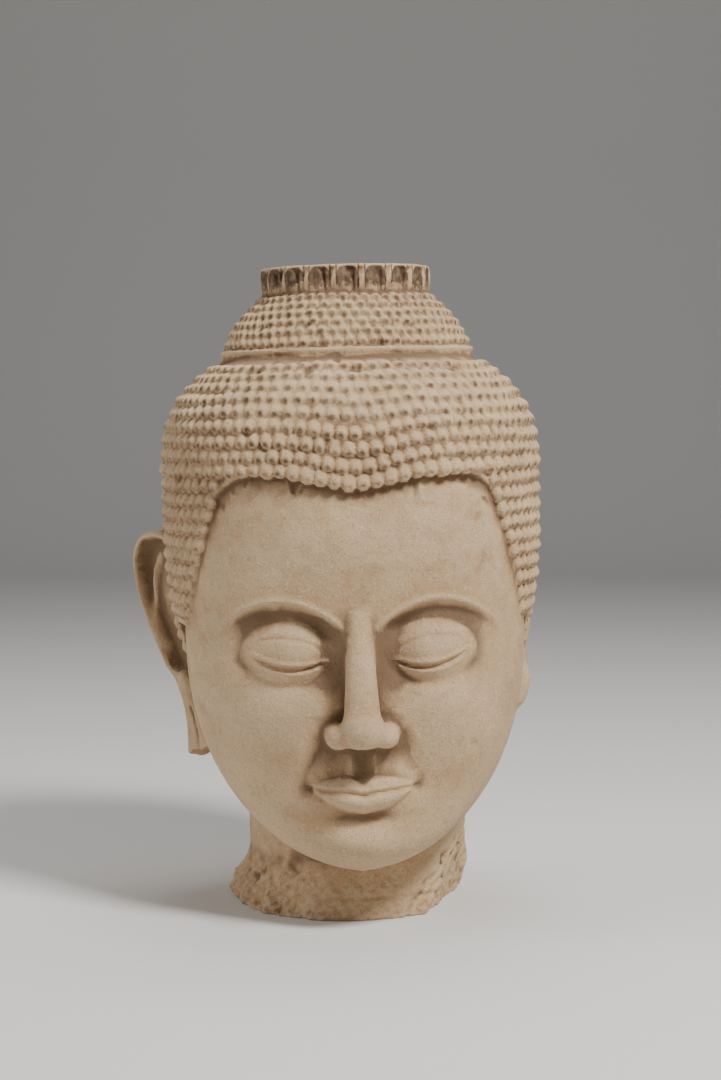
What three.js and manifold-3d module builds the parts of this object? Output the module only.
// Head of a standing Buddha, carved from one block of sandstone and broken off at the neck.
// Snail-shell curls cover the cap of hair and the crown's dome; a plain band divides the two,
// and a collar of upright lotus petals that once held a finial closes the top.
// One stone, so one solid. Millimetres, +Z up, the face looks along -Y, and the origin is
// on the flat underside of the neck.
import * as THREE from 'three';
import { mergeVertices } from 'three/addons/utils/BufferGeometryUtils.js';
import Module from 'manifold-3d';

// ---- driving dimensions ---------------------------------------------------------------
const HEIGHT = 500;                 // neck break to the top of the lotus collar
const LEAN = 1.4;                   // degrees: the head leans to the viewer's left
const TURN = 2.0;                   // degrees: and is turned a little to the viewer's right

const THIRD = 96;                   // chin to nose, nose to brow, brow to hairline
const CHIN_Z = 45;
const NOSE_Z = CHIN_Z + THIRD;
const BROW_Z = NOSE_Z + THIRD;
const HAIRLINE_Z = BROW_Z + THIRD;
const EYE_Z = CHIN_Z + 1.75 * THIRD;
const MOUTH_Z = NOSE_Z - THIRD / 3;
const CHEEK_Z = 217;                // widest level of the face
const HALF_FACE = 132;
const EYE = 2 * HALF_FACE / 5;      // one of five equal widths across the face

const NECK_HALF_WIDTH = 87;
const NECK_HALF_DEPTH = 88;
const NECK_CENTRE = -10;            // forward of the axis

const CAP_RADIUS = 149.1;           // over the tips of the curls, at the widest
const CAP_TOP_Z = 428;
const CAP_TOP_RADIUS = 100.5;
const NAPE_Z = 110;
const HAIR_PEAK = 10;               // dip of the hairline over the middle of the forehead
const CAP_ROUND = 42;               // curls round the cap's widest row
const CAP_ROW = 17.6;               // from row to row
const CURL_RELIEF = 6.2;            // valley to tip

const DOME_RADIUS = 98;             // the crown's dome, over its curls
const DOME_ROUND = 31;
const DOME_ROWS = 3;
const BAND_TOP_Z = 436.5;
const BAND_RADIUS = 99.5;

const COLLAR_Z = 477;               // foot of the lotus petals
const COLLAR_FOOT_RADIUS = 63.6;
const COLLAR_TOP_RADIUS = 66.6;
const PETALS = 19;
const PETAL_RELIEF = 3.4;

const EAR_TOP_Z = 296;
const EAR_END_Z = 113;              // the left lobe is broken off here
const EAR_ANGLE = 33;               // degrees that the wings stand off the head
const STUMP_TOP_Z = 262;            // what is left of the right ear, from its upper end
const STUMP_END_Z = 131;            // to its lower one

// ---- small tools ------------------------------------------------------------------------
const clamp01 = (t) => Math.min(Math.max(t, 0), 1);
const step = (a, b, t) => { const u = clamp01((t - a) / (b - a)); return u * u * (3 - 2 * u); };
const bell = (t) => Math.exp(-t * t);
const smin = (a, b, k) => {
  const h = clamp01(0.5 + 0.5 * (b - a) / k);
  return b * (1 - h) + a * h - k * h * (1 - h);
};
const smax = (a, b, k) => -smin(-a, -b, k);
const radians = THREE.MathUtils.degToRad;

function ellipsoid(x, f, z, c, r) {
  const p = [(x - c[0]) / r[0], (f - c[1]) / r[1], (z - c[2]) / r[2]];
  const k0 = Math.hypot(...p);
  const k1 = Math.hypot(p[0] / r[0], p[1] / r[1], p[2] / r[2]);
  return k0 * (k0 - 1) / Math.max(k1, 1e-6);
}

function roundCone(x, f, z, a, b, ra, rb) {
  const d = [b[0] - a[0], b[1] - a[1], b[2] - a[2]];
  const ll = d[0] ** 2 + d[1] ** 2 + d[2] ** 2;
  const t = clamp01(((x - a[0]) * d[0] + (f - a[1]) * d[1] + (z - a[2]) * d[2]) / ll);
  return Math.hypot(x - a[0] - t * d[0], f - a[1] - t * d[1], z - a[2] - t * d[2]) - (ra + (rb - ra) * t);
}

// ---- the face: an oval with its features in relief ---------------------------------------
// Lengths run across (x), forward (f) and up (z). Each function is below 0 inside the stone.
function faceHalfWidth(z) {
  const low = clamp01((CHEEK_Z - z) / (CHEEK_Z - CHIN_Z));
  const high = clamp01((z - CHEEK_Z) / (440 - CHEEK_Z));
  return HALF_FACE * Math.max(1 - low ** 2.3, 1e-4) ** 0.54 * Math.max(1 - high ** 4.5, 1e-4) ** 0.4;
}

function faceFront(z) {
  const t = clamp01((z - CHIN_Z + 3) / 34);
  const chin = 98 + 35 * Math.sqrt(Math.max(1 - (1 - t) ** 2, 0));
  return chin + 10 * step(85, 265, z) - 7 * clamp01((z - 275) / 70) ** 2;
}

function faceBack(z) {
  const t = clamp01((z - CHIN_Z) / (205 - CHIN_Z));
  return 94 - 190 * Math.sin(0.5 * Math.PI * t ** 0.72);
}

function browLine(ax) {
  const u = (ax - 58) / 48;
  return BROW_Z + 13 - 22 * (u < 0 ? Math.abs(u) ** 1.9 : 0.95 * Math.abs(u) ** 2.1);
}

function sharpRelief(ax, z) {
  let d = 2.5 * bell(ax / 60) * bell((z - 290) / 38);                     // forehead
  d += 7 * bell((ax - 66) / 36) * bell((z - 163) / 38);                   // cheek
  const brow = browLine(ax);
  const underBrow = step(0, 7, brow - z) * step(12, 26, ax) * (1 - step(84, 112, ax)) * step(176, 206, z);
  d -= (7 + 4.5 * bell((ax - 29) / 15)) * underBrow;                      // orbit
  d += 1.6 * bell((z - brow - 1.5) / 3.2) * step(10, 22, ax) * (1 - step(88, 104, ax));
  const ball = Math.max(1 - ((ax - EYE) / 33) ** 2 - ((z - 211.5) / 21) ** 2, 0);
  d += 10.5 * ball ** 0.62;                                               // eyeball under its lids
  const u = (ax - EYE) / (EYE / 2);
  const open = Math.max(1 - u * u, 0);
  const corner = EYE_Z - 5.5 + 2.5 * u;
  const upper = corner - 5 * open;
  const lower = corner - 10.8 * open ** 0.8;
  if (Math.abs(u) < 1.02) d -= 3.2 * step(-1.2, 0.6, Math.min(upper - z, z - lower));
  d += 1.8 * bell((z - upper - 1.8) / 1.9) * (1 - step(0.98, 1.22, Math.abs(u)));
  d += 1.3 * bell((z - lower + 1.6) / 1.8) * (1 - step(0.85, 1.15, Math.abs(u)));
  d += 7 * bell(ax / 42) * bell((z - 106) / 30);                          // muzzle
  d -= 2 * bell(ax / 4.2) * step(118, 124, z) * (1 - step(136, 144, z));
  const m = ax / (0.75 * EYE);
  const ml = ax / (0.7 * EYE);
  const wide = Math.max(1 - m * m, 0);
  const line = MOUTH_Z + 3.2 * m * m - 1.6 * bell(ax / 6.5);
  const top = line + 11.5 * wide ** 0.75 - 2.6 * bell(ax / 5);
  const bottom = line - 14 * Math.max(1 - ml * ml, 0) ** 0.72;
  const su = clamp01((z - line) / Math.max(top - line, 0.5));
  const upperLip = step(-0.6, 0.6, z - line) * step(-1, 0.8, top - z) * step(0, 0.25, wide);
  d += upperLip * (2 + 4.2 * (1 - su) ** 0.8 * wide ** 0.4);
  const sl = clamp01((line - z) / Math.max(line - bottom, 0.5));
  const lowerLip = step(-0.6, 0.6, line - z) * step(-1.2, 1, z - bottom) * step(0, 0.2, wide);
  d += lowerLip * (1.8 + 5.6 * Math.sin(Math.PI * clamp01(0.18 + 0.72 * sl)) * Math.sqrt(Math.max(1 - ml * ml, 0)));
  d -= 3.4 * bell((z - line) / 1.7) * (1 - step(0.92, 1.08, m));
  d -= 2.6 * bell((ax - 0.76 * EYE) / 5) * bell((z - MOUTH_Z - 3) / 5);
  d -= 4.2 * bell(ax / 26) * bell((z - 88.5) / 6.5);                      // under the lip
  d += 9.5 * bell(ax / 28) * bell((z - 66) / 16);                         // chin
  return d;
}

// eased to the size of the facets
const relief = (ax, z) => 0.25 * (sharpRelief(Math.abs(ax - 1.6), z - 1.3) + sharpRelief(ax + 1.6, z - 1.3)
  + sharpRelief(Math.abs(ax - 1.6), z + 1.3) + sharpRelief(ax + 1.6, z + 1.3));

function nose(x, f, z) {
  const ax = Math.abs(x);
  const bridge = roundCone(x, f, z, [0, 136.5, 236], [0, 156, 163], 9.5, 13.5);
  const tip = ellipsoid(x, f, z, [0, 158, 155], [15.5, 14.5, 12.5]);
  const wing = ellipsoid(ax, f, z, [18, 148, 151.5], [9.5, 15, 10]);
  return smax(smin(smin(bridge, tip, 8), wing, 4.5), NOSE_Z + 1 + 0.1 * (f - 150) - z, 3);
}

function face(x, f, z) {
  const ax = Math.abs(x);
  const g = f - relief(ax, z) * step(25, 92, f);
  const a = faceHalfWidth(z);
  const front = faceFront(z);
  const back = faceBack(z);
  const b = Math.max(0.5 * (front - back), 1);
  const q = ((ax / a) ** 2.3 + (Math.abs(g - 0.5 * (front + back)) / b) ** 2.3) ** (1 / 2.3);
  let d = (q - 1) * Math.min(a, b);
  d = Math.max(d, CHIN_Z - 2 - z);
  d = smax(d, z - 385, 8);
  return smin(d, nose(x, f, z), 7);
}

// ---- the neck, wider where the stone broke away -------------------------------------------
function neck(x, f, z) {
  const flare = (5 + 11 * step(-40, 40, -x)) * (1 - step(8, 46, z));
  const a = NECK_HALF_WIDTH + flare + 0.0008 * Math.max(z - 60, 0) ** 2;
  const b = NECK_HALF_DEPTH + 0.7 * flare;
  let d = (Math.hypot(x / a, (f - NECK_CENTRE) / b) - 1) * a;
  d = smax(d, z - 190, 6);
  d = smax(d, 0.8 * x + 0.25 * f - 0.25 * z - 57.5, 3);                   // sloping break on the right
  const rim = Math.max(Math.hypot(x, f * 0.8 + 8) - 66, 0);
  return smax(d, 0.03 * rim ** 1.6 - 6 - z, 3);
}

const core = (x, f, z) => smin(face(x, f, z), neck(x, f, z), 9);

// ---- the cap of hair ------------------------------------------------------------------------
function capRadius(z) {
  const h = Math.max(CAP_TOP_Z - z, 0);
  const rise = CAP_TOP_RADIUS + (CAP_RADIUS - CAP_TOP_RADIUS) * (1 - Math.max(1 - h / 86, 0) ** 3);
  return rise - 0.0013 * Math.max(300 - z, 0) ** 2;
}

// Distance inside the hair, along its surface; az is the angle from the front.
function hairline(az, z) {
  const deg = THREE.MathUtils.radToDeg(Math.abs(az));
  const s = deg * 2.55;
  const top = HAIRLINE_Z + HAIR_PEAK * (1 - bell(s / 34)) - 0.0009 * Math.max(s - 70, 0) ** 2;
  const side = 117 + (325 - z) * 0.36;
  const opening = smax(z - top, s - side, 34);
  const low = 226 - (226 - NAPE_Z) * step(84, 104, deg);
  return Math.min(opening, z - low);
}

const capShape = (az) => {
  const c = Math.abs(Math.cos(az));
  const s = Math.abs(Math.sin(az));
  const deep = Math.cos(az) > 0 ? 0.985 : 1.02;
  return 1 / ((s ** 2.15 + (c / deep) ** 2.15) ** (1 / 2.15));
};

// ---- solids ------------------------------------------------------------------------------------
const wasm = await Module();
wasm.setup();

// A lathe blank of `rows` rings and `columns` sides, closed on the axis, with each point set
// by place(i, j) -> [across, forward, up]; the first and last rows close on single points.
function carve(columns, rows, place, studded = false) {
  const profile = [];
  for (let j = 0; j <= rows; j++) profile.push(new THREE.Vector2(j % rows === 0 ? 0 : 1, j));
  const blank = new THREE.LatheGeometry(profile, columns);
  blank.deleteAttribute('normal');
  blank.deleteAttribute('uv');
  const p = blank.attributes.position;
  for (let i = 0; i <= columns; i++) {
    for (let j = 0; j <= rows; j++) {
      const [x, f, z] = place(j % rows === 0 ? 0 : i % columns, j);
      p.setXYZ(i * (rows + 1) + j, x, -f, z);
    }
  }
  // squares of a studded blank are split from valley to valley, so that each tip stands alone;
  // elsewhere the two sides mirror each other
  const index = [];
  for (let i = 0; i < columns; i++) {
    for (let j = 0; j < rows; j++) {
      const a = i * (rows + 1) + j;
      const [b, c, d] = [a + rows + 1, a + rows + 2, a + 1];
      if (studded ? (i + j) % 2 === 0 : i < columns / 2) index.push(a, b, d, c, d, b);
      else index.push(a, b, c, a, c, d);
    }
  }
  blank.setIndex(index);
  return mergeVertices(blank, 1e-4);
}

function solid(geometry) {
  const index = Array.from(geometry.index.array);
  const p = geometry.attributes.position.array;
  const tris = [];
  let volume = 0;
  const v = (i) => new THREE.Vector3(p[3 * i], p[3 * i + 1], p[3 * i + 2]);
  for (let t = 0; t < index.length; t += 3) {
    const [a, b, c] = [index[t], index[t + 1], index[t + 2]];
    if (a === b || b === c || a === c) continue;
    tris.push(a, b, c);
    volume += v(a).dot(v(b).cross(v(c)));
  }
  if (volume < 0) for (let t = 0; t < tris.length; t += 3) [tris[t], tris[t + 1]] = [tris[t + 1], tris[t]];
  return new wasm.Manifold(new wasm.Mesh({
    numProp: 3, vertProperties: new Float32Array(p), triVerts: new Uint32Array(tris),
  }));
}

// lean and turn of the whole head over the level underside
const pose = new THREE.Matrix4().makeRotationY(radians(-LEAN))
  .multiply(new THREE.Matrix4().makeRotationZ(radians(TURN)));
const posed = (geometry) => solid(geometry.applyMatrix4(pose));

// levels between the given stops, evenly spaced in each stretch
function levels(stops) {
  const out = [stops[0][0]];
  for (let k = 1; k < stops.length; k++) {
    const [to, pitch] = stops[k];
    const from = stops[k - 1][0];
    const n = Math.max(1, Math.round((to - from) / pitch));
    for (let m = 1; m <= n; m++) out.push(from + (to - from) * m / n);
  }
  return out;
}

// -- face and neck: the blank's points are moved in to where the stone starts
const halfColumns = levels([[0], [28, 4], [92, 6.4], [128, 9]]).map((x) => Math.atan2(x, 128))
  .concat([0.95, 1.25, 1.6, 2.0, 2.4, 2.8]);
const faceAngles = halfColumns.slice(1).reverse().map((a) => -a).concat(halfColumns);
const faceColumns = faceAngles.length;
const faceLevels = levels([[-14], [10, 24], [38, 14], [44, 6], [60, 5.4], [87, 9], [95, 4], [112, 3.4], [121, 4.5],
  [138, 8.5], [142, 4], [150, 4], [192, 14], [208, 4], [223, 5], [257, 6.8], [340, 27], [383, 43]]);
function coreRadius(az, z) {
  const sx = Math.sin(az);
  const sf = Math.cos(az);
  let r = 186;
  while (r > 2 && core(r * sx, r * sf, z) > 0) r -= 1.5;
  let inside = r;
  let outside = r + 1.5;
  for (let k = 0; k < 12; k++) {
    const mid = 0.5 * (inside + outside);
    if (core(mid * sx, mid * sf, z) > 0) outside = mid; else inside = mid;
  }
  return inside;
}
// beside and behind the features, rows run together so that the plain sides carry fewer points
const faceSolid = posed(carve(faceColumns, faceLevels.length + 1, (i, j) => {
  if (j === 0) return [0, 0, faceLevels[0]];
  if (j === faceLevels.length + 1) return [0, 0, faceLevels[faceLevels.length - 1]];
  const az = faceAngles[i];
  const every = Math.abs(az) > 1.1 ? 5 : (Math.abs(az) > 0.66 ? 2 : 1);
  const last = faceLevels.length - 1;
  let k = j - 1;
  while (k !== last && k % every !== 0 && faceLevels[k] > CHIN_Z + 3) k -= 1;
  const z = faceLevels[k];
  const r = coreRadius(az, z);
  return [r * Math.sin(az), r * Math.cos(az), z];
}));

// -- hair: rings of curls, each tip standing between the valleys of its neighbours
// Rows are paced out along the cap's profile, up and down from the row at the hairline.
function paced(from, to, pitch) {
  const rows = [];
  const dz = to > from ? 0.25 : -0.25;
  let run = 0;
  for (let z = from + dz; dz > 0 ? z <= to : z >= to; z += dz) {
    run += Math.hypot(capRadius(z) - capRadius(z - dz), dz);
    if (run >= pitch) { rows.push(z); run = 0; }
  }
  return rows;
}
const edgeRow = HAIRLINE_Z + 11;
const capRows = paced(edgeRow, NAPE_Z - 2.5 * CAP_ROW, CAP_ROW).reverse()
  .concat([edgeRow], paced(edgeRow, CAP_TOP_Z + 1, CAP_ROW));
const capColumns = 2 * CAP_ROUND;
const capSolid = posed(carve(capColumns, capRows.length + 1, (i, j) => {
  if (j === 0) return [0, 0, capRows[0]];
  if (j === capRows.length + 1) return [0, 0, CAP_TOP_Z + 4];
  const az = (2 * Math.PI * i) / capColumns - Math.PI;
  const rowZ = capRows[j - 1];
  const z = rowZ - HAIR_PEAK * bell(az / 0.233) * step(CAP_TOP_Z, edgeRow, rowZ);
  const tip = (i + j) % 2 === 0;
  const grown = hairline(az, z);
  // the profile's outward direction, from its slope
  const slope = (capRadius(z + 2) - capRadius(z - 2)) / 4;
  const nr = 1 / Math.hypot(1, slope);
  const nz = -slope * nr;
  const lift = (tip ? 0.2 : -CURL_RELIEF) * step(-1, 3, grown) - 26 * step(3, -7, grown);
  const r = (capRadius(z) + lift * nr) * capShape(az);
  return [r * Math.sin(az), r * Math.cos(az), z + lift * nz - (tip ? 1.5 : 0)];
}, true));

// -- crown: the curled dome, the plain band under it and the lotus collar over it
const domeRadius = (z) => DOME_RADIUS - 0.0775 * Math.max(z - 436, 0) ** 1.6;
const domePitch = (COLLAR_Z + 3 - BAND_TOP_Z + 6) / DOME_ROWS;
const domeColumns = 2 * DOME_ROUND;
const domeSolid = posed(carve(domeColumns, DOME_ROWS + 3, (i, j) => {
  if (j === 0) return [0, -4, 420];
  if (j === DOME_ROWS + 3) return [0, -4, COLLAR_Z + 6];
  const az = (2 * Math.PI * i) / domeColumns;
  const z = BAND_TOP_Z - 4 + (j - 1) * domePitch;
  const tip = (i + j) % 2 === 0;
  const r = domeRadius(z) + (tip ? 0 : -CURL_RELIEF * 0.8);
  return [r * Math.sin(az), r * Math.cos(az) - 4, z - (tip ? 1.2 : 0)];
}, true));

function ring(columns, points, ripple) {
  return carve(columns, points.length + 1, (i, j) => {
    if (j === 0) return [0, -4, points[0][1]];
    if (j === points.length + 1) return [0, -4, points[points.length - 1][1]];
    const az = (2 * Math.PI * i) / columns;
    const [r0, z] = points[j - 1];
    const r = r0 + (ripple ? ripple(i, j - 1) : 0);
    return [r * Math.sin(az), r * Math.cos(az) - 4, z];
  });
}
const bandSolid = posed(ring(36, [[BAND_RADIUS, 418], [BAND_RADIUS, 434], [BAND_RADIUS - 1.5, BAND_TOP_Z]]));

// each petal: a deep groove, then its rounded face; the tips stop short of the rim
const petalWave = [-1, 0, 0];
const collarSolid = posed(ring(3 * PETALS, [
  [COLLAR_FOOT_RADIUS, COLLAR_Z - 6],
  [COLLAR_FOOT_RADIUS, COLLAR_Z],
  [COLLAR_FOOT_RADIUS + 2.2, COLLAR_Z + 16],
  [COLLAR_TOP_RADIUS - 0.4, HEIGHT - 2.6],
  [COLLAR_TOP_RADIUS - 1.2, HEIGHT],
], (i, j) => {
  const depth = [0.7, 0.8, 1, 0.55, 0.15][j];
  return PETAL_RELIEF * depth * petalWave[i % 3];
}));

// -- ears: thin wings with a scooped front. u runs outwards along the wing, n out of its front.
const earRootX = (z) => 108 + 30 * step(110, 260, z);
const earRootF = (z) => -24 + 12 * step(110, 290, z);
const earWidth = (z) => (131.5 + 37 * step(130, 270, z) - earRootX(z)) / Math.sin(radians(EAR_ANGLE));
function earFront(u, z, width) {
  const inner = Math.min(width - u, EAR_TOP_Z - 0.008 * (u - 20) ** 2 - z);
  const high = step(172, 186, z);
  const scoop = 9 * step(4, 13, inner) * step(170, 182, z - 0.25 * u);
  const arc = 38 - 0.004 * (z - 236) ** 2;
  const fold = 5 * bell((u - arc) / 3.6) * step(190, 206, z) * (1 - step(262, 280, z));
  const knob = 9 * bell((u - 19) / 7) * bell((z - 173) / 6);
  return 8 + 4 * bell((inner - 3) / 3.2) * high - scoop + fold + knob;
}
const earBack = (z) => -7 - 12 * (1 - step(150, 215, z));
function earPlace(side, u, n, z) {
  const angle = radians(EAR_ANGLE);
  return [side * (earRootX(z) + u * Math.sin(angle) + n * Math.cos(angle)),
    earRootF(z) - u * Math.cos(angle) + n * Math.sin(angle), z];
}
// around[] walks the section from the root's front, over the rim, to the root's back
function ear(side, zLevels, widthAt, frontAt, uLow) {
  const across = [0, 0.3, 0.5, 0.68, 0.82, 0.92, 1];
  const n = across.length;
  return carve(2 * n, zLevels.length + 1, (i, j) => {
    const end = j === 0 || j === zLevels.length + 1;
    const z = zLevels[Math.min(Math.max(j - 1, 0), zLevels.length - 1)];
    const width = widthAt(z);
    const at = (t) => uLow + (width - uLow) * t;
    if (end) return earPlace(side, at(0.5), 0.5 * (frontAt(at(0.5), z, width) + earBack(z)), z);
    if (i < n) {
      const edge = across[i] === 1 ? 7 : 0;
      return earPlace(side, at(across[i]), frontAt(at(across[i]), z, width) - edge, z);
    }
    const t = across[2 * n - 1 - i];
    return earPlace(side, at(t), earBack(z) + (t === 1 ? 5 : 0), z);
  });
}
const wingLevels = levels([[EAR_END_Z], [166, 27], [184, 6], [276, 18], [EAR_TOP_Z - 3, 6]]);
const wingWidth = (z) => {
  const round = clamp01((z - (EAR_TOP_Z - 22)) / 22);
  return earWidth(z) - 26 * (1 - Math.sqrt(Math.max(1 - round * round, 0)));
};
const wingSolid = posed(ear(-1, wingLevels, wingWidth, earFront, -12));
// the right wing is lost: a lump is left along its root, broken off in an uneven line
const stumpOut = (z) => 142.5 + 2.6 * Math.sin(z * 0.135 + 0.6) + 1.4 * Math.sin(z * 0.37)
  - 22 * step(156, STUMP_END_Z, z) - 6 * step(228, STUMP_TOP_Z, z);
const stumpLevels = levels([[STUMP_END_Z], [STUMP_TOP_Z, 13]]);
const stumpSolid = posed(carve(10, stumpLevels.length + 1, (i, j) => {
  const z = stumpLevels[Math.min(Math.max(j - 1, 0), stumpLevels.length - 1)];
  const inX = 96;
  const cx = 0.5 * (stumpOut(z) + inX);
  const ax = 0.5 * (stumpOut(z) - inX);
  const bf = 17 - 8 * step(150, STUMP_END_Z, z) - 5 * step(236, STUMP_TOP_Z, z);
  const cf = earRootF(z) - 10;
  if (j === 0 || j === stumpLevels.length + 1) return [cx, cf, z];
  const t = (2 * Math.PI * i) / 10;
  const [c, q] = [Math.cos(t), Math.sin(t)];
  return [cx + ax * Math.sign(c) * Math.abs(c) ** 0.7, cf + bf * Math.sign(q) * Math.abs(q) ** 0.7, z];
}));

// -- everything joined, then sawn level at the break
let head = faceSolid.add(capSolid).add(domeSolid).add(bandSolid).add(collarSolid).add(wingSolid).add(stumpSolid);
head = head.subtract(solid(mergeVertices((() => {
  const box = new THREE.BoxGeometry(500, 500, 60).translate(0, 0, -30);
  box.deleteAttribute('normal');
  box.deleteAttribute('uv');
  return box;
})())));

const mesh = head.getMesh();
const geometry = new THREE.BufferGeometry();
geometry.setAttribute('position', new THREE.BufferAttribute(new Float32Array(mesh.vertProperties), 3));
geometry.setIndex(new THREE.BufferAttribute(new Uint32Array(mesh.triVerts), 1));
geometry.computeVertexNormals();

const sandstone = new THREE.MeshStandardMaterial({ color: 0xb89c76, roughness: 0.93, metalness: 0 });
const stone = new THREE.Mesh(geometry, sandstone);
stone.name = 'buddha_head';

const group = new THREE.Group();
group.add(stone);
export default group;
